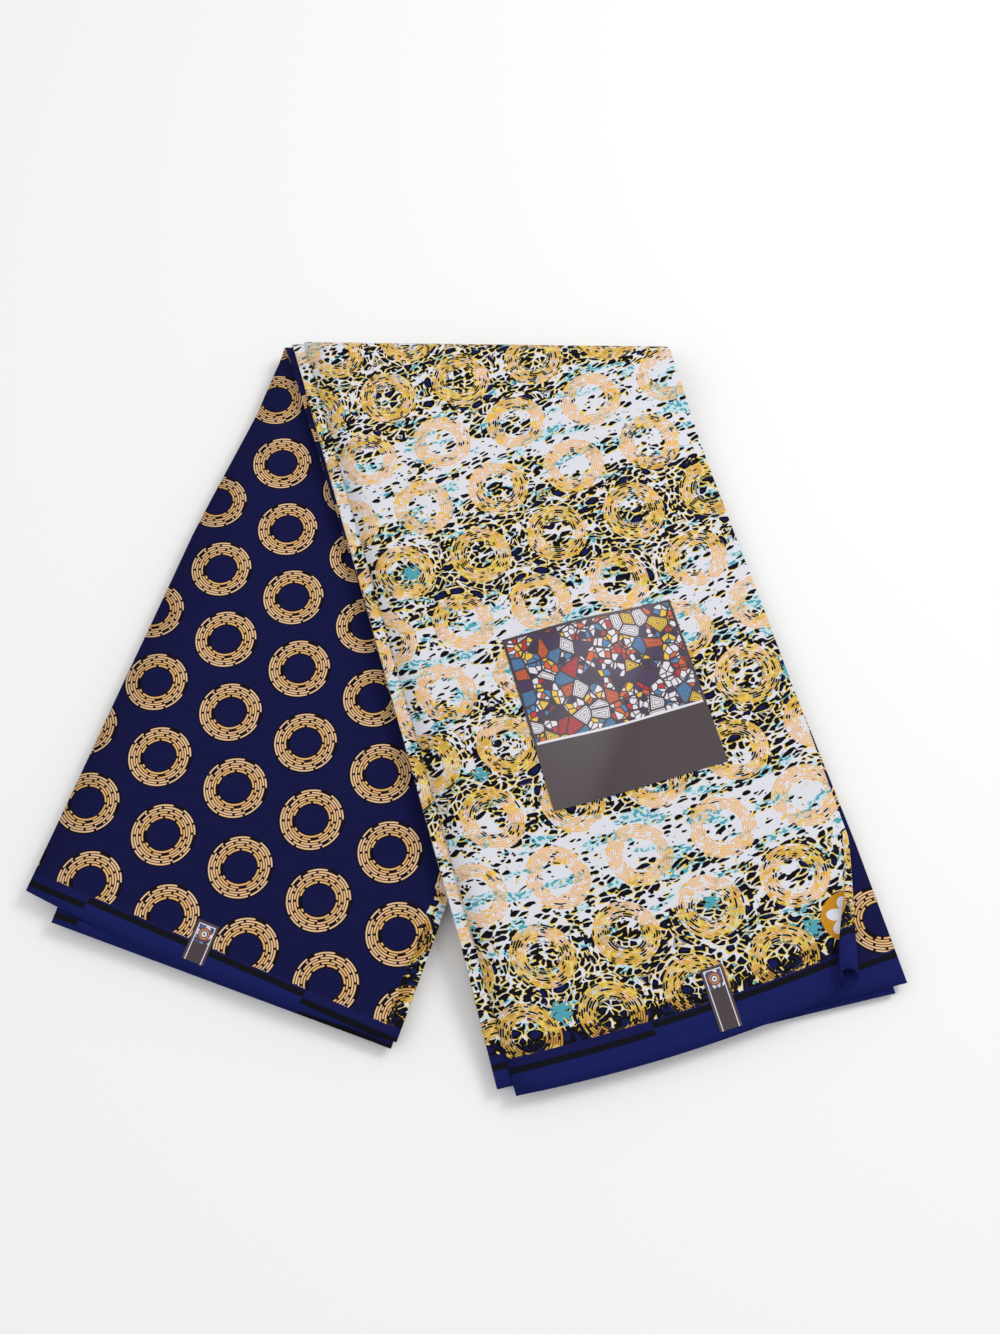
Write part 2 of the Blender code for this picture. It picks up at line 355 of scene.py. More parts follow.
def lift_under(x, y, reach):
    """Height of the upper leg's underside over the surface."""
    side_x = CREASE_X + (STRIP_WIDTH / 2 - FOLD_INSET) / math.cos(LOWER_LEG_ANGLE)
    past = (x - side_x) * math.cos(LOWER_LEG_ANGLE) - y * math.sin(LOWER_LEG_ANGLE)
    drop = smooth((past - STEP_MARGIN) / STEP_WIDTH)
    return LIFT * (1.0 - drop * smooth((reach - BEND_REACH) / STEP_RAMP))


def unevenness(x, y, reach):
    """How much thicker the stack lies at a place, as a share."""
    settled = smooth((abs(reach) - BEND_REACH) / SWELL_FADE)
    across = (x + SWELL_SLANTS[0] * y) * 2.0 * math.pi / SWELL_LENGTH
    upward = (y + SWELL_SLANTS[1] * x) * 2.0 * math.pi / SWELL_LENGTH * SWELL_SQUASH
    waves = math.sin(across + SWELL_PHASES[0]) * math.sin(upward + SWELL_PHASES[1])
    return settled * SWELL_SHARE * waves


def edge_ridge(across, height, reach):
    """The soft ridge beside the upper leg's open edge, felt by the top layers."""
    off = (across - RIDGE_PLACE) / RIDGE_WIDTH
    felt = smooth((reach - BEND_REACH) / SWELL_FADE) * max(height / STACK_HEIGHT, 0.0) ** RIDGE_POWER
    return RIDGE_HEIGHT * felt * math.exp(-off * off)


def place_point(across, height, reach):
    """World point of the strip: across it, over its inner face, and along it from the crease."""
    angle = leg_angle(reach)
    x = CREASE_X + across / math.cos(angle) + reach * math.tan(angle)
    if reach < -BEND_REACH:
        y = reach + BEND_REACH
        z = (STACK_HEIGHT - height) * (1.0 + unevenness(x, y, reach))
    elif reach > BEND_REACH:
        y = BEND_REACH - reach
        z = lift_under(x, y, reach) + height * (1.0 + unevenness(x, y, reach))
        z += edge_ridge(across, height, reach)
    else:
        turn = reach / MEAN_RADIUS
        radius = INNER_RADIUS + height
        y, z = radius * math.cos(turn), STACK_HEIGHT + INNER_RADIUS + radius * math.sin(turn)
    return Vector((x - ORIGIN[0], y - ORIGIN[1], z - ORIGIN[2]))


def row_reach(share, across, overlength):
    """Distance along the strip of a row of points, fanned from the crease's line to the selvedge's."""
    if share < 0.0:
        middle = share * LOWER_LEG_REACH
        slope = LOWER_END_SLOPE
        direction = -1.0
    else:
        middle = share * UPPER_LEG_REACH
        slope = UPPER_END_SLOPE
        direction = 1.0
    squared = smooth(abs(share) / SQUARING_SHARE)
    grown = smooth((abs(share) - 1.0 + OVERLENGTH_SHARE) / OVERLENGTH_SHARE)
    return middle + slope * squared * across + direction * grown * overlength


def fold_arc(edge, side, lower, pitch_half, steps):
    """Points of a tight turn from one layer up to the next."""
    points = []
    for step in range(steps + 1):
        turn = math.pi * step / steps - math.pi / 2
        points.append((edge - side * pitch_half * (1.0 - math.cos(turn)),
                       lower + pitch_half * (1.0 + math.sin(turn))))
    return points


def loop_arc(edge, lower, grown, overlength):
    """The top pair's turn, which opens into a loose, leaning loop whose upper side is drawn back."""
    half = LAYER_PITCH / 2
    wide = half + grown * (LOOP_HALF_WIDTH - half)
    high = half + grown * (LOOP_HALF_HEIGHT - half)
    points = []
    for step in range(LOOP_STEPS + 1):
        turn = (math.pi + grown * LOOP_LEAN) * step / LOOP_STEPS - math.pi / 2
        risen = (1.0 + math.sin(turn)) / 2.0
        points.append((edge - wide * (1.0 - math.cos(turn)),
                       lower + 2.0 * high * risen,
                       overlength - LOOP_DRAW_BACK * grown * risen))
    return points, wide


def unroll(turn):
    """Places across the flat cloth of a turn's points, measured from its last point."""
    places = [turn[-1][0]]
    for number in range(len(turn) - 1, 0, -1):
        step = math.hypot(turn[number][0] - turn[number - 1][0], turn[number][1] - turn[number - 1][1])
        places.append(places[-1] + step)
    return places[::-1]


def column_places(layer):
    """Places across the strip where a layer has points."""
    count = SHOWN_COLUMNS if layer in (0, LAYER_COUNT - 1) else HIDDEN_COLUMNS
    return [LEFT_SAMPLE + (RIGHT_SAMPLE - LEFT_SAMPLE) * number / (count - 1) for number in range(count)]


def section(share):
    """Middle line of the cloth across the strip: (across, height, overlength, layer, print place)."""
    half = LAYER_PITCH / 2
    edges = []
    for name, side, insets, lower_over, upper_over in EDGES:
        inset = along(EDGE_STATIONS, insets, share) / MM_PER_M
        over = (lower_over if share < 0.0 else upper_over) / MM_PER_M
        edges.append((side * (STRIP_WIDTH / 2 - inset), over))
    grown = smooth((share - LOOP_START) / (1.0 - LOOP_START))
    turn_foot = (LAYER_COUNT - 2) * LAYER_PITCH + SOLID_THICKNESS / 2
    top_turn, wide = loop_arc(edges[-2][0], turn_foot, grown, edges[-2][1])
    path = []
    for layer in range(LAYER_COUNT):
        height = layer * LAYER_PITCH + SOLID_THICKNESS / 2
        rightward = layer % 2 == 0
        start, start_over = edges[layer]
        finish, finish_over = edges[layer + 1]
        right_limit = RIGHT_SAMPLE
        if layer == LAYER_COUNT - 2:
            right_limit = min(right_limit, finish - wide - LOOP_CLEARANCE)
        if layer == LAYER_COUNT - 1:
            right_limit = min(right_limit, start - 2.0 * wide - 2.0 * LOOP_CLEARANCE)
        squeeze = (right_limit - KNEE) / (RIGHT_SAMPLE - KNEE)
        inner = [place if place <= KNEE else KNEE + (place - KNEE) * squeeze
                 for place in column_places(layer)]
        if not rightward:
            inner.reverse()
        if layer == 0:
            path.append((start, height, start_over, layer, start))
        shown = layer == (0 if share < 0.0 else LAYER_COUNT - 1)
        bow = SELVEDGE_BOW if shown else 0.0
        if layer == LAYER_COUNT - 1:
            foot, rise = path[-1][:2]
            place = foot + CREASE_SHARE * (inner[0] - foot)
            path.append((place, rise + CREASE_SHARE * (height - rise), start_over, layer, place))
        for place in inner:
            part = (place - start) / (finish - start)
            over = start_over + part * (finish_over - start_over) + 4.0 * bow * part * (1.0 - part)
            path.append((place, height, over, layer, place))
        if layer == LAYER_COUNT - 1:
            path.append((finish, height, finish_over, layer, finish))
        elif layer == LAYER_COUNT - 2:
            unrolled = unroll(top_turn)
            for (place, rise, over), flat in zip(top_turn, unrolled):
                path.append((place, rise, over, LAYER_COUNT - 1, flat + LOOP_TUCK * grown))
        else:
            side = 1 if rightward else -1
            turn = fold_arc(finish, side, height, half, FOLD_STEPS)
            for number, (place, rise) in enumerate(turn):
                path.append((place, rise, finish_over, layer + (number > FOLD_STEPS / 2), place))
    return path


def mitres(path):
    """Direction and length of the offset that gives the section an even thickness."""
    offsets = []
    for number in range(len(path)):
        normals = []
        for first in (number - 1, number):
            if 0 <= first and first + 1 < len(path):
                along_u = path[first + 1][0] - path[first][0]
                along_h = path[first + 1][1] - path[first][1]
                length = math.hypot(along_u, along_h)
                normals.append((-along_h / length, along_u / length))
        before, after = normals[0], normals[-1]
        spread = 1.0 + before[0] * after[0] + before[1] * after[1]
        offsets.append(((before[0] + after[0]) / spread, (before[1] + after[1]) / spread))
    return offsets


def strip_rows():
    """Rows from the lower leg's selvedge, round the bend, to the upper leg's selvedge."""
    lower = BEND_REACH / LOWER_LEG_REACH * LEG_START
    upper = BEND_REACH / UPPER_LEG_REACH * LEG_START
    rows = [("leg", -1.0 + (1.0 - lower) * step / LEG_ROWS) for step in range(LEG_ROWS + 1)]
    rows += [("bend", BEND_REACH * (2.0 * step / BEND_ROWS - 1.0)) for step in range(BEND_ROWS + 1)]
    rows += [("leg", upper + (1.0 - upper) * step / LEG_ROWS) for step in range(LEG_ROWS + 1)]
    return rows


def flat_place(leg, across, height, reach):
    """Where a point lies on the flat cloth's print, with a ring's centre at the origin."""
    direction = -1.0 if leg == "lower" else 1.0
    angle = LOWER_LEG_ANGLE if leg == "lower" else UPPER_LEG_ANGLE
    stretch = (INNER_RADIUS + height) / MEAN_RADIUS
    ahead = reach * direction
    if ahead > BEND_REACH:
        run = ahead - BEND_REACH
    elif ahead > -BEND_REACH:
        run = (ahead - BEND_REACH) * stretch
    else:
        run = ahead + BEND_REACH - 2.0 * BEND_REACH * stretch
    x = CREASE_X + across / math.cos(angle) + direction * (run + BEND_REACH) * math.tan(angle) - ORIGIN[0]
    y = -run - ORIGIN[1]
    centre_x, centre_y, row_angle, skew, ring_spacing, row_spacing = PRINT_LAYOUT[leg]
    row = math.radians(row_angle)
    column = math.radians(row_angle + skew)
    away = Matrix(((math.cos(row), math.cos(column)), (math.sin(row), math.sin(column)))).inverted()
    u, v = away @ Vector((x - centre_x, y - centre_y))
    u *= RING_SPACING / ring_spacing
    v *= ROW_SPACING / row_spacing
    if leg == "upper":
        far_u, far_v = (min(max(10.0 * place, PULL_LIMITS[0]), PULL_LIMITS[1]) for place in (u, v))
        u -= sum(pull * far_u ** i * far_v ** j for i, j, pull, _ in PRINT_PULL) / MM_PER_M
        v -= sum(pull * far_u ** i * far_v ** j for i, j, _, pull in PRINT_PULL) / MM_PER_M
    return u, v


def arithmetic(operation, swapped=False):
    """A method that works out one step of arithmetic in a material's nodes."""
    def method(self, other):
        values = (other, self) if swapped else (self, other)
        return self.nodes.math(operation, *values)
    return method


class Signal:
    """A number in a material's nodes, with arithmetic."""

    def __init__(self, nodes, socket):
        self.nodes = nodes
        self.socket = socket

    __add__ = __radd__ = arithmetic("ADD")
    __mul__ = __rmul__ = arithmetic("MULTIPLY")
    __sub__ = arithmetic("SUBTRACT")
    __rsub__ = arithmetic("SUBTRACT", swapped=True)
    __truediv__ = arithmetic("DIVIDE")
    __lt__ = arithmetic("LESS_THAN")
    __gt__ = arithmetic("GREATER_THAN")


class Nodes:
    """The nodes of one material."""

    def __init__(self, name):
        self.material = bpy.data.materials.new(name)
        self.material.use_nodes = True
        self.tree = self.material.node_tree
        self.shader = self.tree.nodes["Principled BSDF"]

    def add(self, kind, **settings):
        node = self.tree.nodes.new("ShaderNode" + kind)
        for name, value in settings.items():
            setattr(node, name, value)
        return node

    def feed(self, socket, value):
        if isinstance(value, Signal):
            self.tree.links.new(value.socket, socket)
        elif isinstance(value, tuple) and socket.type == "RGBA":
            socket.default_value = (*value, 1.0)
        else:
            socket.default_value = value

    def math(self, operation, *values):
        node = self.add("Math", operation=operation)
        for socket, value in zip(node.inputs, values):
            self.feed(socket, value)
        return Signal(self, node.outputs[0])

    def floor(self, value):
        return self.math("FLOOR", value)

    def fract(self, value):
        return self.math("FRACT", value)

    def away(self, x, y):
        """Distance from where both coordinates are 0."""
        return self.math("SQRT", x * x + y * y)

    def size(self, value):
        return self.math("ABSOLUTE", value)

    def most(self, first, *others):
        for other in others:
            first = self.math("MAXIMUM", first, other)
        return first

    def least(self, first, second):
        return self.math("MINIMUM", first, second)

    def over(self, value, edge, soft=0.08):
        """1 where the value is over the edge, 0 where it is under it."""
        node = self.add("MapRange", interpolation_type="SMOOTHSTEP")
        self.feed(node.inputs["Value"], value)
        self.feed(node.inputs["From Min"], edge - soft)
        self.feed(node.inputs["From Max"], edge + soft)
        return Signal(self, node.outputs["Result"])

    def mix(self, kind, first_socket, *values):
        node = self.add("Mix", data_type=kind)
        for number, value in zip((0, first_socket, first_socket + 1), values):
            self.feed(node.inputs[number], value)
        return Signal(self, node.outputs[0 if kind == "FLOAT" else 2])

    def blend(self, share, first, second):
        """A number between two numbers."""
        return self.mix("FLOAT", 2, share, first, second)

    def paint(self, share, under, ink):
        """A colour laid over another."""
        return self.mix("RGBA", 6, share, under, ink)

    def place(self, x, y):
        node = self.add("CombineXYZ")
        self.feed(node.inputs[0], x)
        self.feed(node.inputs[1], y)
        return Signal(self, node.outputs[0])

    def noise(self, x, y, wide, high, seed, detail):
        """Smooth noise from 0 to 1."""
        node = self.add("TexNoise", noise_dimensions="2D")
        self.feed(node.inputs["Vector"], self.place(x / wide + seed * SEED_STEP, y / high - seed * SEED_STEP))
        self.feed(node.inputs["Scale"], 1.0)
        self.feed(node.inputs["Detail"], detail)
        return Signal(self, node.outputs["Fac"])

    def field(self, x, y, name):
        """One of the smooth noises."""
        return self.noise(x, y, *FIELDS[name])

    def patches(self, x, y, name, density=0.0):
        """1 in patches of chance shape, which may grow with the density, and 0 elsewhere."""
        wide, high, seed, detail, growth, edge, soft = PATCHES[name]
        return self.over(self.noise(x, y, wide, high, seed, detail) + density * growth, edge, soft)

    def cells(self, x, y, wide, high, seed):
        """Chance cells: depth from the edge, distance off the middle, a number."""
        at = self.place(x / wide + seed * SEED_STEP, y / high + seed * SEED_STEP)
        edge = self.add("TexVoronoi", voronoi_dimensions="2D", feature="DISTANCE_TO_EDGE")
        nearest = self.add("TexVoronoi", voronoi_dimensions="2D", feature="F1")
        for node in (edge, nearest):
            self.feed(node.inputs["Vector"], at)
            self.feed(node.inputs["Scale"], 1.0)
            self.feed(node.inputs["Randomness"], 1.0)
        split = self.add("SeparateColor")
        self.feed(split.inputs[0], Signal(self, nearest.outputs["Color"]))
        least = min(wide, high)
        depth = Signal(self, edge.outputs["Distance"]) * least
        off = Signal(self, nearest.outputs["Distance"]) * least
        return depth, off, Signal(self, split.outputs[0])

    def chance(self, x, y):
        """A number from 0 to 1 for each pair of whole numbers."""
        node = self.add("TexWhiteNoise", noise_dimensions="2D")
        self.feed(node.inputs["Vector"], self.place(x, y))
        return Signal(self, node.outputs["Value"])

    def uv(self, name):
        """Both coordinates of a map, in millimetres."""
        node = self.add("UVMap", uv_map=name)
        split = self.add("SeparateXYZ")
        self.tree.links.new(node.outputs[0], split.inputs[0])
        return Signal(self, split.outputs[0]) * MM_PER_M, Signal(self, split.outputs[1]) * MM_PER_M

    def bump(self, height, distance, strength):
        node = self.add("Bump")
        node.inputs["Strength"].default_value = strength
        node.inputs["Distance"].default_value = distance
        self.feed(node.inputs["Height"], height)
        self.tree.links.new(node.outputs[0], self.shader.inputs["Normal"])


def tint(red, green, blue):
    """A colour given in the screen's steps of 0 to 255."""
    steps = (red, green, blue)
    return tuple(((step / 255 + 0.055) / 1.055) ** 2.4 if step > 10 else step / 255 / 12.92 for step in steps)


NAVY = tint(22, 25, 84)
NAVY_DARK = tint(9, 10, 44)
NAVY_FILL = tint(20, 23, 78)
OUTLINE = tint(8, 8, 24)
BLACK = tint(10, 8, 14)
STRIPE = tint(14, 14, 24)
BAND_BLUE = tint(22, 29, 92)
MAROON = tint(66, 34, 38)
SEAM_BROWN = tint(126, 76, 42)
GOLD_LINE = tint(232, 188, 124)
PEACH_LINE = tint(236, 200, 156)
WHITE = tint(225, 225, 233)
OCHRE = tint(200, 140, 34)
PALE_CYAN = tint(198, 222, 230)
TEAL = tint(80, 163, 178)
YELLOW = tint(238, 205, 84)
PEACH = tint(238, 182, 112)
GOLD = tint(230, 168, 84)
LABEL_DARK = tint(62, 47, 54)
LABEL_WHITE = tint(226, 222, 230)
LABEL_RED = tint(150, 62, 60)
LABEL_GOLD = tint(206, 166, 96)
MOSAIC_COLOURS = (LABEL_WHITE, tint(50, 34, 72), LABEL_WHITE, tint(190, 40, 48), LABEL_WHITE,
                  tint(232, 192, 58), tint(66, 46, 92), LABEL_WHITE, tint(70, 128, 176), tint(212, 96, 52))
SEAL_COLOURS = (LABEL_WHITE, tint(78, 88, 160), tint(196, 208, 236), tint(96, 160, 206))
SEAL_DISCS = ((4.6, LABEL_RED), (3.4, LABEL_GOLD), (2.8, LABEL_DARK), (2.0, LABEL_WHITE), (0.8, LABEL_DARK))


def ring_place(n, x, y):
    """Distance and turn from the nearest ring's centre, and a number of that ring's own."""
    nearest = []
    for shift in (0.0, 0.5):
        beside = (n.fract(x / RING_STEP + (0.5 + shift)) - 0.5) * RING_STEP
        above = (n.fract(y / (2.0 * ROW_STEP) + (0.5 + shift)) - 0.5) * (2.0 * ROW_STEP)
        nearest.append((beside, above, beside * beside + above * above))
    first, second = nearest
    pick = second[2] < first[2]
    beside = n.blend(pick, first[0], second[0])
    above = n.blend(pick, first[1], second[1])
    radius = n.math("SQRT", n.least(first[2], second[2]))
    turn = n.math("ARCTAN2", above, beside) / (2.0 * math.pi) + 0.5
    column = n.math("ROUND", (x - beside) * 2.0 / RING_STEP)
    row = n.math("ROUND", (y - above) / ROW_STEP)
    return radius, turn, n.chance(column, row)


def marks_round(n, radius, turn, key, kind, play=MARK_PLAY):
    """Short marks round a ring, one at a chance place in each of its equal parts."""
    count, half_length, share, seed = RING_MARKS[kind]
    part = n.floor(turn * count)
    jitter = n.chance(part + seed, key)
    off = n.size(n.fract(turn * count) - 0.5 - (jitter - 0.5) * play) * radius * (2.0 * math.pi / count)
    mark = n.over(half_length - off, 0.0, 0.12)
    return mark * (n.chance(part + seed * 3.0, key + 0.5) < share)


def navy_ring(n, radius, turn):
    """A ring of tracks of light lines, broken at staggered places: where it is, and its colour."""
    track = (radius - RING_INSIDE) / TRACK_PITCH
    number = n.floor(track)
    inside = n.over(track, 0.0, 0.06) * n.over(TRACK_COUNT - track, 0.0, 0.06)
    rim = n.most(number < 0.5, number > TRACK_COUNT - 1.5)
    pair = n.fract(number / 2.0) * 2.0
    gaps = n.most(
        marks_round(n, radius, turn + pair * BRICK_STAGGER, number, "brick_joints", BRICK_PLAY),
        marks_round(n, radius, turn, number, "long_gaps"),
        marks_round(n, radius, turn, number, "rim_gaps") * rim,
    )
    between = n.paint(pair, SEAM_BROWN, MAROON)
    line = n.over(TRACK_HALF - n.size(n.fract(track) - 0.5), 0.0, 0.07)
    ring = n.paint(line, between, n.paint(n.over(radius, RING_MIDDLE, 4.0), GOLD_LINE, PEACH_LINE))
    return inside * (1.0 - gaps), ring


def navy_print(n, x, y, radius, turn):
    """Peach rings of broken lines on navy with fine zigzag lines."""
    zigzag = n.size(n.fract(x / ZIGZAG_LENGTH) - 0.5) * ZIGZAG_HEIGHT
    wave = n.size(n.fract((y + zigzag) / ZIGZAG_PITCH) - 0.5)
    ground = n.paint(n.over(wave, 0.25, 0.14), NAVY, NAVY_DARK)
    rim = n.over(radius, RING_INSIDE - OUTLINE_WIDTH) * n.over(RING_OUTSIDE + OUTLINE_WIDTH - radius, 0.0)
    inside, ring = navy_ring(n, radius, turn)
    return n.paint(inside, n.paint(rim, ground, OUTLINE), ring)


def spot_cells(n, x, y, kind):
    """Depth from the joints between a kind's spots, depth from their middles' reach, and a cell's number."""
    wide, high, seed, joint, reach = SPOT_CELLS[kind]
    edge, off, number = n.cells(x, y, wide, high, seed)
    return edge - joint, reach - off, number


def spots(n, x, y, swirl, density):
    """How deep inside a spot a point of the spotted ground is, in millimetres."""
    p, q, near = swirl
    across = n.blend(near, x, p)
    upward = n.blend(near, y, q)
    inside, within, number = spot_cells(n, across, upward, "dots")
    uneven = (n.field(across, upward, "spot_sizes") - 0.5) * DOT_UNEVEN[0] + (number - 0.5) * DOT_UNEVEN[1]
    dots = n.least(inside, within + n.blend(density, *DOT_SIZES) + uneven)
    tilt_x = x * DASH_SLANT[0] + y * DASH_SLANT[1]
    tilt_y = y * DASH_SLANT[0] - x * DASH_SLANT[1]
    inside, within, number = spot_cells(n, tilt_x, tilt_y, "dashes")
    rise, start, top, fall = DASH_SIZES
    uneven = (n.field(x, y, "dash_sizes") - 0.5) * DASH_UNEVEN[0] + (number - 0.5) * DASH_UNEVEN[1]
    dashes = n.least(inside, within + n.least(density * rise + start, top - density * fall) + uneven)
    inside, within, number = spot_cells(n, across, upward, "leaves")
    left_out = number > (density - LEAF_DENSITY) * LEAF_SHARE
    leaves = n.least(inside, within) - left_out * ABSENT
    return n.most(n.least(dots, (leaves + LEAF_RIM) * -1.0), dashes, leaves)


def teal_splats(n, x, y):
    """Where the teal splats lie."""
    uneven = (n.field(x, y, "splat_edge") - 0.5) * SPLAT_UNEVEN
    splats = 0.0
    for across, above, size in TEAL_SPLATS:
        away = n.away(x - across, y - above)
        splats = n.most(splats, n.over(size - away + uneven, 0.0, 0.3))
    return splats


def leopard_print(n, x, y, radius, turn, ring, height, zone):
    """Black and navy spots with yellow edges on white, teal specks, and rings of fine strokes."""
    bands = n.math("COSINE", (y + BAND_PHASE) * (2.0 * math.pi / BAND_PERIOD))
    shades = [n.over(width - place, 0.0, soft)
              for place, (width, soft) in ((height, CUT_SHADE), (zone, ZONE_SHADE), (height, LOW_SHADE))]
    dark = n.most(shades[0], shades[1])
    density = 0.50 + 0.50 * bands + (n.field(x, y, "bands") - 0.5) * BAND_UNEVEN
    density = n.least(n.most(density, shades[2], 0.0), 1.0)
    swing = (n.field(x, y, "sway") - 0.5) * SWAY[0]
    swung_x = x + swing
    swung_y = y + swing * SWAY[1]
    near = n.over(SWIRL_OUTSIDE - radius, 0.0, 0.5) * n.over(radius, SWIRL_INSIDE, 0.5)
    near = near * (n.field(x, y, "swirls") > SWIRL_SHARE)
    p = turn * SWIRL_LENGTHS[0] + ring * SWIRL_LENGTHS[1] + swing
    q = radius * SWIRL_LENGTHS[2]
    depth = spots(n, swung_x, swung_y, (p, q, near), density) + dark
    halo = spots(n, swung_x + HALO_SHIFT[0], swung_y + HALO_SHIFT[1],
                 (p + SWIRL_HALO_SHIFT, q + SWIRL_HALO_SHIFT, near), density) + dark * SHADE_DEPTH
    inked = n.over(depth, 0.0, 0.10)

    wash = n.patches(x, y, "wash")
    ground = n.paint(wash, WHITE, PALE_CYAN)
    ground = n.paint(wash * n.patches(swung_x, swung_y, "flecks"), ground, TEAL)
    yellow = n.most(n.patches(x, y, "yellow", density), dark)
    ground = n.paint(n.over(halo, -HALO_WIDTH, 0.12) * yellow, ground, YELLOW)

    pitch = (radius - RING_INSIDE + STROKE_START) / STROKE_PITCH
    number = n.floor(pitch)
    off_line = n.size(n.fract(pitch) - 0.5)
    reach = n.over(pitch, 0.0, 0.1) * n.over(STROKE_COUNT - pitch, 0.0, 0.1)
    edges = n.most(number < 0.5, number > STROKE_COUNT - 1.5)
    splats = teal_splats(n, x, y)
    ground = n.paint(inked * reach * n.over(dark, 0.3, 0.2), ground, BLACK)
    ground = n.paint(splats, ground, TEAL)
    key = number + ring * STROKE_KEY
    lost = n.most(marks_round(n, radius, turn, key, "stroke_gaps"),
                  marks_round(n, radius, turn, key, "stroke_rim_gaps") * edges)
    between = n.over(off_line, STROKE_GAP[0], 0.09) * STROKE_GAP[1]
    stroke = n.paint(n.patches(x, y, "warm_strokes", density), PEACH, GOLD)
    stroke = n.paint(n.patches(x, y, "yellow_strokes", density), stroke, YELLOW)
    drawn = reach * (1.0 - lost) * (1.0 - between) * n.patches(x, y, "whole_strokes", density)
    ground = n.paint(drawn, ground, stroke)

    cluster = n.patches(x, y, "bars", density)
    key = number + ring * BAR_KEY
    bars = n.most(marks_round(n, radius, turn, key, "short_bars"),
                  marks_round(n, radius, turn, key, "long_bars"))
    bars = bars * reach * cluster * n.over(BAR_HALF - off_line, 0.0, 0.08)
    ink = inked * (1.0 - reach * n.blend(cluster, 1.0, BAR_SHARE)) * (1.0 - splats)
    ground = n.paint(n.most(ink, bars), ground, BLACK)
    return n.paint(n.over(depth, FILL_DEPTH, 0.12) * ink, ground, NAVY_FILL)


def flower_print(n, x, y, print_colour):
    """One flower: white petals on an ochre disc."""
    across, above, size = FLOWER
    away = n.away(x - across, y - above)
    petal = n.size(n.math("SINE", n.math("ARCTAN2", y - above, x - across) * 3.0))
    petal_end = size * PETAL_NOTCH + petal * (size * PETAL_LENGTH)
    colour = print_colour
    for reach, paint in ((size, OCHRE), (petal_end, WHITE), (size * FLOWER_EYE, OCHRE)):
        colour = n.paint(n.over(reach - away, 0.0, 0.2), colour, paint)
    return colour


def border_print(n, x, height, print_colour):
    """The selvedge: a navy margin, a black stripe that steps up over one stretch, and a blue band."""
    lower = n.math("GREATER_THAN", x, LEG_SHIFT / 2)
    left = (x < LEG_SHIFT + LOWER_STEPS[0]) * lower
    right = x > LEG_SHIFT + LOWER_STEPS[1]
    upper = x < UPPER_STEP
    place = height + (left + right) * LOWER_STEP_RISE + upper * UPPER_STEP_RISE
    colour = n.paint(n.over(height, 0.0, 0.15), NAVY_FILL, print_colour)
    colour = n.paint(n.over(STRIPE_TOP - place, 0.0, 0.25), colour, STRIPE)
    return n.paint(n.over(BAND_TOP - place, 0.0, 0.25), colour, BAND_BLUE)


def cloth_material():
    """Printed cotton."""
    n = Nodes("printed_cotton")
    x, y = n.uv("flat")
    height, zone = n.uv("margin")
    radius, turn, ring = ring_place(n, x, y)
    navy = navy_print(n, x, y, radius, turn)
    zone = zone + (n.field(x, y, "zone_edge") - 0.5) * ZONE_UNEVEN
    leopard = leopard_print(n, x, y, radius, turn, ring, height, zone)
    leopard = flower_print(n, x, y, leopard)
    colour = n.paint(n.over(zone, 0.0, 0.2), navy, leopard)
    n.feed(n.shader.inputs["Base Color"], border_print(n, x, height, colour))
    n.shader.inputs["Roughness"].default_value = 0.80
    n.shader.inputs["Specular IOR Level"].default_value = 0.10
    thread = 2.0 * math.pi / THREAD_PITCH
    weave = n.math("SINE", x * thread) * n.math("SINE", y * thread)
    slubs = n.field(x, y, "weft") + n.field(x, y, "warp")
    n.bump(weave * 0.5 + slubs, 0.0001, 0.35)
    return n.material


def mosaic(n, x, y, palette):
    """Small tiles in chance colours with dark joints, some with rings inside."""
    edge, _, number = n.cells(x, y, MOSAIC_CELL, MOSAIC_CELL, 40)
    small_edge, _, small_number = n.cells(x, y, MOSAIC_SMALL_CELL, MOSAIC_SMALL_CELL, 41)
    split = number > MOSAIC_SPLIT
    tile = n.blend(split, number / MOSAIC_SPLIT, small_number)
    colour = palette[0]
    for step, paint in enumerate(palette[1:], start=1):
        colour = n.paint(tile > step / len(palette), colour, paint)
    rings = n.over(n.size(n.fract(edge / MOSAIC_LINE_PITCH) - 0.5), 0.36, 0.08) * (1.0 - split)
    colour = n.paint(rings, colour, LABEL_DARK)
    joint = n.over(MOSAIC_JOINT - edge, 0.0, 0.1)
    small_joint = n.over(MOSAIC_SMALL_JOINT - small_edge, 0.0, 0.1) * split
    return n.paint(n.most(joint, small_joint), colour, LABEL_DARK)


def paper_place(n, width, length):
    """Place on a label, in millimetres."""
    part_x, part_y = n.uv("paper")
    return part_x * (width / MM_PER_M), part_y * (length / MM_PER_M)


def paper_shader(n, colour):
    n.feed(n.shader.inputs["Base Color"], colour)
    n.shader.inputs["Roughness"].default_value = 0.42
    return n.material


def large_label_material(width, length):
    """A dark paper label with a mosaic over a plain band."""
    n = Nodes("large_label")
    x, y = paper_place(n, width, length)
    inset = n.least(x, width - x)
    field = n.over(inset, LABEL_FRAME) * n.over(y, LABEL_DIVIDER) * n.over(length - LABEL_FRAME - y, 0.0)
    colour = n.paint(field, LABEL_DARK, mosaic(n, x, y, MOSAIC_COLOURS))
    divider = n.over(DIVIDER_HALF - n.size(y - LABEL_DIVIDER), 0.0) * n.over(inset, LABEL_FRAME)
    return paper_shader(n, n.paint(divider, colour, LABEL_WHITE))


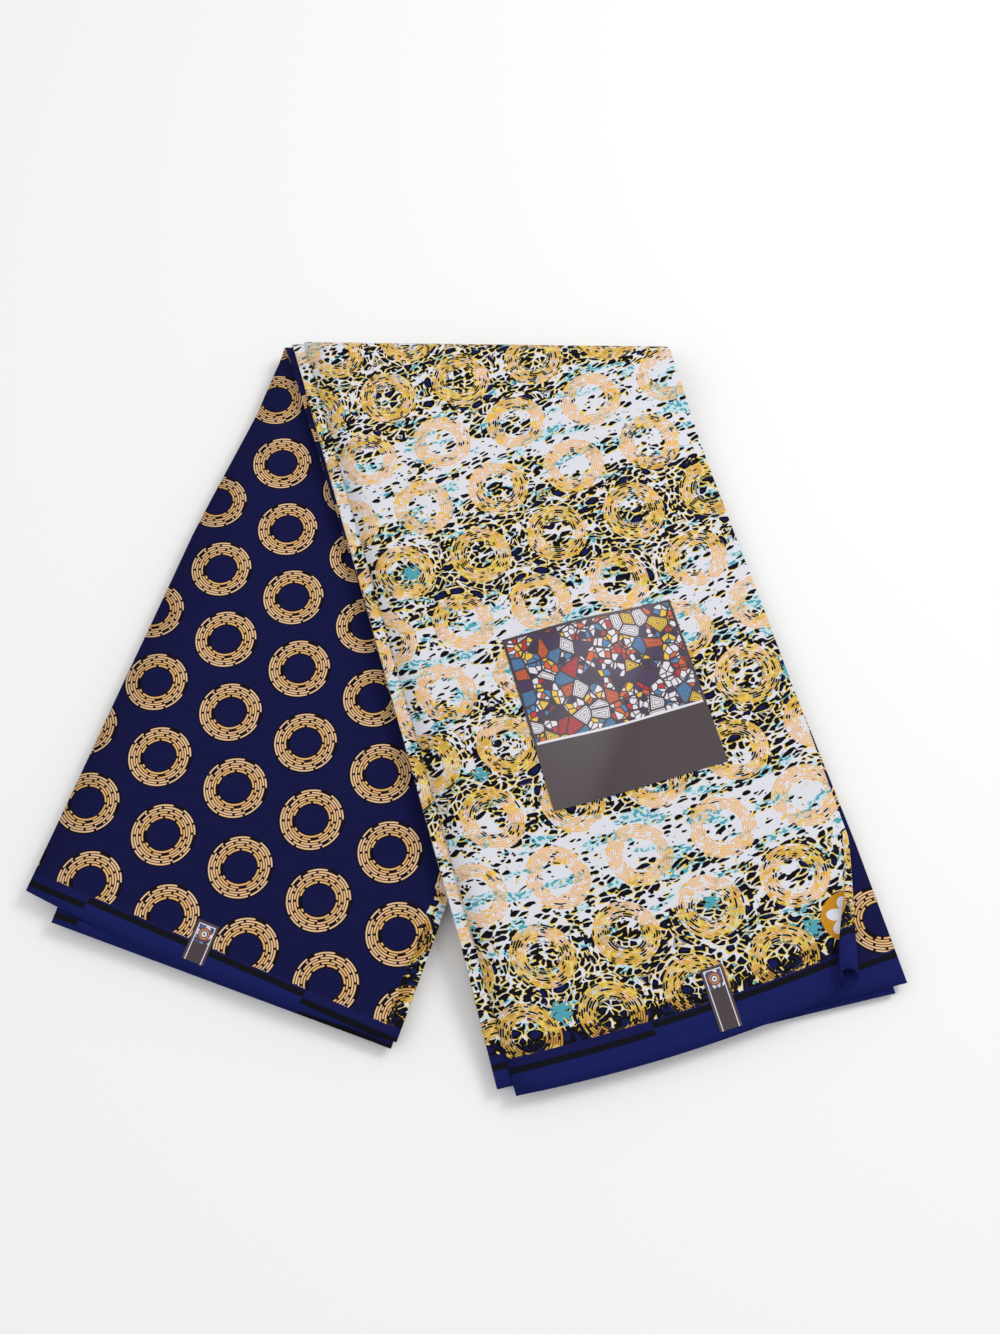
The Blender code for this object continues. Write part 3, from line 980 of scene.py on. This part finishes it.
def small_label_material(width, length):
    """A dark paper strip with white side lines and a ringed disc on tiles at its inner end."""
    n = Nodes("small_label")
    x, y = paper_place(n, width, length)
    beside = n.size(x - width / 2)
    sides = n.over(LINE_HALF - n.size(beside - (width / 2 - LINE_INSET)), 0.0)
    top = n.over(LINE_HALF - n.size(length - LINE_INSET - y), 0.0)
    within = n.over(width / 2 - LINE_OUTSIDE - beside, 0.0) * n.over(length - LINE_OUTSIDE - y, 0.0)
    colour = n.paint(within * n.most(sides, top), LABEL_DARK, LABEL_WHITE)
    field = n.over(width / 2 - FIELD_INSET - beside, 0.0) * n.over(length - FIELD_INSET - y, 0.0)
    field = field * n.over(y, length - SEAL_FIELD)
    colour = n.paint(field, colour, mosaic(n, x + SEAL_TILES_SHIFT, y, SEAL_COLOURS))
    away = n.away(x - width / 2, y - (length - SEAL_FIELD / 2 - SEAL_DROP))
    for radius, paint in SEAL_DISCS:
        colour = n.paint(n.over(radius - away, 0.0, 0.1) * field, colour, paint)
    return paper_shader(n, colour)


def print_place(layer, point, share, reach):
    """A point's place in the print, and its place over the ring's cut line and in the spotted ground."""
    across, height, over, _, flat = point
    leg, shift_u, shift_v, zone_left, zone_right = LAYER_PRINT[layer]
    shown = layer == (0 if reach < 0.0 else LAYER_COUNT - 1)
    even_reach = reach if shown or share is None else row_reach(share, across, 0.0)
    if shown and layer == LAYER_COUNT - 1:
        even_reach += LOOP_PRINT_DRAW_BACK * max(EDGES[-2][-1] / MM_PER_M - over, 0.0)
    u, v = flat_place(leg, flat, height, even_reach)
    own_end = -1.0 if leg == "lower" else 1.0
    far = abs(row_reach(-own_end, across, 0.0) - even_reach) - FAR_MARGIN
    cut_height = min(v - CUT_LINES[leg], far)
    zone = zone_left + (zone_right - zone_left) * (across / STRIP_WIDTH + 0.5)
    return (u + shift_u, v + shift_v), (cut_height, zone)


def running(lengths):
    """Running sum of lengths, as shares of the whole."""
    places = [0.0]
    for length in lengths:
        places.append(places[-1] + length)
    return [place / places[-1] for place in places]


def bake_islands(paths, places):
    """Layout of the sheet's faces without overlap: the shown faces large, the hidden ones small."""
    columns = len(paths[0])
    last_row, last_column = len(paths) - 1, columns - 1
    layers = [point[3] for point in paths[0]]
    first_turn, last_turn = layers.index(1), layers.index(LAYER_COUNT - 1)

    def across_places(first, last, row):
        points = paths[row][first:last + 1]
        return running([math.hypot(b[0] - a[0], b[1] - a[1]) for a, b in zip(points, points[1:])])

    def hidden_places(first, last):
        points = paths[0][first:last + 1]
        flats = [abs(b[0] - a[0]) for a, b in zip(points, points[1:])]
        return running([EDGE_WEIGHT if flat > EDGE_FLAT else 1.0 for flat in flats])

    def row_places(first, last, column):
        line = [places[row * columns + column] for row in range(first, last + 1)]
        return running([(b - a).length for a, b in zip(line, line[1:])])

    spans = {
        # faces: side, first and last column, first and last row, row that gives the widths
        "lower_top": (1, 0, first_turn, 0, LEG_ROWS, 0),
        "upper_top": (1, last_turn, last_column, LEG_ROWS, last_row, last_row),
        "lower_under": (1, last_turn, last_column, 0, LEG_ROWS, 0),
        "upper_under": (1, 0, first_turn, LEG_ROWS, last_row, last_row),
        "between": (1, first_turn, last_turn, 0, last_row, None),
        "inside": (0, 0, last_column, 0, last_row, None),
    }
    islands = []
    for name, turned, left, bottom, width, height in BAKE_LAYOUT:
        side, start, end, first, last, profile = spans[name]
        beside = hidden_places(start, end) if profile is None else across_places(start, end, profile)
        onward = row_places(first, last, (start + end) // 2)
        islands.append((side, start, end, first, last, beside, onward, turned, left, bottom, width, height))
    return islands


def bake_place(islands, sides, face):
    """Places of a face's corners in the layout; a rim's corners lie on a thin strip of its own."""
    grid = [(index // sides[0], *divmod(index % sides[0], sides[1])) for index in face]
    rows = [row for _, row, _ in grid]
    columns = [column for _, _, column in grid]
    if len({side for side, _, _ in grid}) > 1:
        across_rows = max(rows) > min(rows)
        limit = sides[0] // sides[1] - 1 if across_rows else sides[1] - 1
        lane = (columns[0] > 0) if across_rows else 2 + (rows[0] > 0)
        return [(BAKE_RIM_LEFT + BAKE_RIM_WIDTH * (row if across_rows else column) / limit,
                 BAKE_RIM_BOTTOM + BAKE_RIM_PITCH * (lane + BAKE_RIM_SHARE * side))
                for side, row, column in grid]
    for side, start, end, first, last, beside, onward, turned, left, bottom, width, height in islands:
        if (side == grid[0][0] and start <= min(columns) and max(columns) <= end
                and first <= min(rows) and max(rows) <= last):
            corners = []
            for _, row, column in grid:
                place = (onward[row - first], beside[column - start])
                if turned:
                    place = place[::-1]
                corners.append((left + width * place[0], bottom + height * place[1]))
            return corners
    raise ValueError("face without a place in the layout")


def sheet_faces(row_count, column_count):
    """Faces of a closed sheet, each with the column that it belongs to."""
    count = row_count * column_count
    faces = []
    for row in range(row_count - 1):
        for column in range(column_count - 1):
            corner = row * column_count + column
            quad = (corner, corner + 1, corner + column_count + 1, corner + column_count)
            faces.append((quad, column))
            faces.append((tuple(count + index for index in reversed(quad)), column))
        for column in (0, column_count - 1):
            first = row * column_count + column
            rim = (first, first + column_count, count + first + column_count, count + first)
            faces.append((rim if column == 0 else tuple(reversed(rim)), column))
    for column in range(column_count - 1):
        for row in (0, row_count - 1):
            first = row * column_count + column
            rim = (first, first + 1, count + first + 1, count + first)
            faces.append((rim if row else tuple(reversed(rim)), column))
    return faces


def build_sheet():
    """The whole folded cloth as one thin closed sheet."""
    rows = strip_rows()
    paths = [section(value if kind == "leg" else 0.0) for kind, value in rows]
    offsets = [mitres(path) for path in paths]
    columns = len(paths[0])
    verts, points = [], []
    for side in (1, -1):
        for row, (kind, value) in enumerate(rows):
            for column, point in enumerate(paths[row]):
                across, height, over = point[:3]
                turn_u, turn_h = offsets[row][column]
                reach = value if kind == "bend" else row_reach(value, across, over)
                shift = side * SHEET_THICKNESS / 2
                verts.append(place_point(across + shift * turn_u, height + shift * turn_h, reach))
                points.append((point, value if kind == "leg" else None, reach))
    faces = sheet_faces(len(rows), columns)
    data = bpy.data.meshes.new("cloth_sheet")
    data.from_pydata(verts, [], [face for face, _ in faces])
    flat_map = data.uv_layers.new(name="flat")
    margin_map = data.uv_layers.new(name="margin")
    known = {}
    for polygon, (_, column) in zip(data.polygons, faces):
        layer = paths[0][column][3]
        for loop in polygon.loop_indices:
            vertex = data.loops[loop].vertex_index
            if (vertex, layer) not in known:
                known[vertex, layer] = print_place(layer, *points[vertex])
            flat_map.data[loop].uv, margin_map.data[loop].uv = known[vertex, layer]
    count = len(verts) // 2
    islands = bake_islands(paths, verts[count:])
    bake_map = data.uv_layers.new(name="OFBake")
    for polygon in data.polygons:
        corners = bake_place(islands, (count, columns), tuple(polygon.vertices))
        for loop, corner in zip(polygon.loop_indices, corners):
            bake_map.data[loop].uv = corner
    data.shade_smooth()
    return bpy.data.objects.new("cloth_sheet", data)


def build_label(name, leg, left, right, first, last):
    """A sheet of paper that follows the cloth under it."""
    verts, places = [], []
    outer = max(abs(first), abs(last))
    for side in (1, -1):
        for row in range(LABEL_POINTS):
            share = first + (last - first) * row / (LABEL_POINTS - 1)
            for column in range(LABEL_POINTS):
                part = column / (LABEL_POINTS - 1)
                across = left + (right - left) * part
                rise = PAPER_CLEARANCE + (PAPER_THICKNESS if side > 0 else 0.0)
                height = STACK_HEIGHT + rise if leg == "upper" else -rise
                verts.append(place_point(across, height, row_reach(share, across, 0.0)))
                places.append((part, (outer - abs(share)) / abs(last - first)))
    faces = [face for face, _ in sheet_faces(LABEL_POINTS, LABEL_POINTS)]
    if leg == "upper":
        faces = [tuple(reversed(face)) for face in faces]
    data = bpy.data.meshes.new(name + "_paper")
    data.from_pydata(verts, [], faces)
    paper_map = data.uv_layers.new(name="paper")
    for loop in data.loops:
        paper_map.data[loop.index].uv = places[loop.vertex_index]
    return bpy.data.objects.new(name + "_paper", data)


def link(item):
    bpy.context.scene.collection.objects.link(item)


def plain_material(name, colour, roughness):
    """A material of one colour."""
    material = bpy.data.materials.new(name)
    material.use_nodes = True
    shader = material.node_tree.nodes["Principled BSDF"]
    shader.inputs["Base Color"].default_value = (*colour, 1.0)
    shader.inputs["Roughness"].default_value = roughness
    return material


def build_camera():
    """The camera at the photograph's viewing angle."""
    level = Vector((1.0, 0.0, 0.0))
    upward = Vector((0.0, math.sin(CAMERA_ELEVATION), math.cos(CAMERA_ELEVATION)))
    forward = Vector((0.0, math.cos(CAMERA_ELEVATION), -math.sin(CAMERA_ELEVATION)))
    right = math.cos(CAMERA_ROLL) * level + math.sin(CAMERA_ROLL) * upward
    up = math.cos(CAMERA_ROLL) * upward - math.sin(CAMERA_ROLL) * level
    data = bpy.data.cameras.new("photo_camera")
    data.sensor_fit = "VERTICAL"
    data.sensor_height = SENSOR_HEIGHT
    data.lens = LENS
    data.clip_end = CLIP_END
    camera = bpy.data.objects.new("photo_camera", data)
    place = Matrix((right, up, -forward)).transposed().to_4x4()
    place.translation = Vector(CAMERA_PLACE)
    camera.matrix_world = place
    link(camera)
    bpy.context.scene.camera = camera


def build_stage():
    """A pale floor and soft studio light."""
    corners = [(x * FLOOR_HALF, y * FLOOR_HALF, 0) for x, y in ((-1, -1), (1, -1), (1, 1), (-1, 1))]
    data = bpy.data.meshes.new("floor")
    data.from_pydata(corners, [], [(0, 1, 2, 3)])
    floor = bpy.data.objects.new("floor", data)
    floor.location.z = -FLOOR_DROP
    data.materials.append(plain_material("floor", FLOOR_COLOUR, 0.9))
    link(floor)
    world = bpy.data.worlds.new("studio")
    world.use_nodes = True
    background = world.node_tree.nodes["Background"]
    background.inputs["Color"].default_value = (1.0, 1.0, 1.0, 1.0)
    background.inputs["Strength"].default_value = SKY_STRENGTH
    bpy.context.scene.world = world
    for name, place, size, power in LAMPS:
        lamp = bpy.data.lights.new(name, "AREA")
        lamp.size = size
        lamp.energy = power
        item = bpy.data.objects.new(name, lamp)
        item.location = place
        item.rotation_euler = (-Vector(place)).to_track_quat("-Z", "Y").to_euler()
        link(item)


def main():
    bpy.context.scene.view_settings.view_transform = "Standard"
    build_camera()
    build_stage()
    sheet = build_sheet()
    link(sheet)
    sheet.data.materials.append(cloth_material())
    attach(sheet, "root")
    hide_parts("folded_cloth")
    for name, leg, left, right, first, last in LABELS:
        paper = build_label(name, leg, left, right, first, last)
        link(paper)
        width = (right - left) * MM_PER_M
        length = (last - first) * (UPPER_LEG_REACH if leg == "upper" else LOWER_LEG_REACH) * MM_PER_M
        make = large_label_material if name == "large_label" else small_label_material
        paper.data.materials.append(make(width, length))
        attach(paper, "root")
        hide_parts(name)


main()
